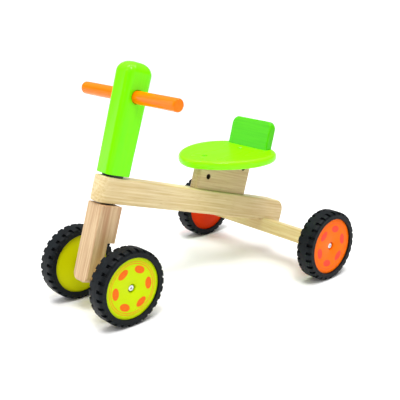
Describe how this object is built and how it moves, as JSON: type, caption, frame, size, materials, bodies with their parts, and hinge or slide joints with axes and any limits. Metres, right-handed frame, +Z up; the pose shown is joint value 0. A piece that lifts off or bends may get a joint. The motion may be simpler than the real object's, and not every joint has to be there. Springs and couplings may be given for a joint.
{
  "type": "toddler ride-on trike",
  "caption": "Toddler's wooden push trike: shaped seat and back board on a sloping beam, steered front fork with close-set wheels, dowel handlebar, treaded rubber tyres.",
  "frame": {"origin": "on the ground, midway between the two axles, on the trike's middle plane", "axes": "+Y to the rear, +X to the trike's left, +Z up; the trike faces -Y"},
  "size_m": [0.424, 0.597, 0.4749],
  "materials": {
    "tyre_rubber": "matt black moulded rubber",
    "black_nylon": "black nylon",
    "front_hub_paint": "yellow-green stained wood disc, satin",
    "rear_hub_paint": "orange stained wood disc, satin",
    "lime_paint": "lime green paint on wood, glossy",
    "green_paint": "green paint on wood, satin",
    "orange_paint": "orange paint on wood, satin",
    "rubberwood": "clear satin varnish",
    "light_wood": "clear satin varnish",
    "dark_wood": "clear satin varnish",
    "zinc_steel": "zinc plated",
    "dark_steel": "blackened",
    "bright_steel": "bright plated",
    "brass": "plain"
  },
  "bodies": {
    "frame": {"axle_beam_screw_left": "zinc_steel", "axle_beam_screw_right": "zinc_steel", "lower_head_bush": "black_nylon", "main_beam": "rubberwood", "post_dowel_front": "dark_wood", "post_dowel_rear": "dark_wood", "post_screw_front": "zinc_steel", "post_screw_rear": "zinc_steel", "rear_axle_beam": "rubberwood", "rear_left_axle_bolt": "bright_steel", "rear_left_axle_insert": "brass", "rear_left_axle_spacer": "zinc_steel", "rear_right_axle_bolt": "bright_steel", "rear_right_axle_insert": "brass", "rear_right_axle_spacer": "zinc_steel", "seat": "lime_paint", "seat_back": "green_paint", "seat_back_screw_left": "zinc_steel", "seat_back_screw_right": "zinc_steel", "seat_barrel_nut_front": "dark_steel", "seat_barrel_nut_rear": "dark_steel", "seat_bolt_front": "dark_steel", "seat_bolt_rear": "dark_steel", "seat_post": "dark_wood", "upper_head_bush": "black_nylon"},
    "steering": {"axle_block_screw_left": "zinc_steel", "axle_block_screw_right": "zinc_steel", "column_screw": "zinc_steel", "fork": "light_wood", "fork_screw": "zinc_steel", "front_axle_block": "light_wood", "front_left_axle_bolt": "bright_steel", "front_left_axle_insert": "brass", "front_left_axle_spacer": "zinc_steel", "front_right_axle_bolt": "bright_steel", "front_right_axle_insert": "brass", "front_right_axle_spacer": "zinc_steel", "handlebar": "orange_paint", "handlebar_screw": "zinc_steel", "kingpin": "zinc_steel", "steering_column": "lime_paint", "steering_stop_pin": "zinc_steel"},
    "front_left_wheel": {"front_left_hub": "front_hub_paint", "front_left_hub_bush": "black_nylon", "front_left_tyre": "tyre_rubber"},
    "front_right_wheel": {"front_right_hub": "front_hub_paint", "front_right_hub_bush": "black_nylon", "front_right_tyre": "tyre_rubber"},
    "rear_left_wheel": {"rear_left_hub": "rear_hub_paint", "rear_left_hub_bush": "black_nylon", "rear_left_tyre": "tyre_rubber"},
    "rear_right_wheel": {"rear_right_hub": "rear_hub_paint", "rear_right_hub_bush": "black_nylon", "rear_right_tyre": "tyre_rubber"}
  },
  "joints": [
    {"name": "steering_turn", "type": "hinge", "parent": "frame", "child": "steering", "pos_m": [0, -0.2436, 0.08107], "axis": [0, 0.289, 0.9573], "range_deg": [-35, 35]},
    {"name": "rear_left_wheel_spin", "type": "hinge", "parent": "frame", "child": "rear_left_wheel", "pos_m": [0.1925, 0.2235, 0.075], "axis": [1, 0, 0], "continuous": true},
    {"name": "rear_right_wheel_spin", "type": "hinge", "parent": "frame", "child": "rear_right_wheel", "pos_m": [-0.1925, 0.2235, 0.075], "axis": [1, 0, 0], "continuous": true},
    {"name": "front_left_wheel_spin", "type": "hinge", "parent": "steering", "child": "front_left_wheel", "pos_m": [0.084, -0.2235, 0.075], "axis": [1, 0, 0], "continuous": true},
    {"name": "front_right_wheel_spin", "type": "hinge", "parent": "steering", "child": "front_right_wheel", "pos_m": [-0.084, -0.2235, 0.075], "axis": [1, 0, 0], "continuous": true}
  ]
}
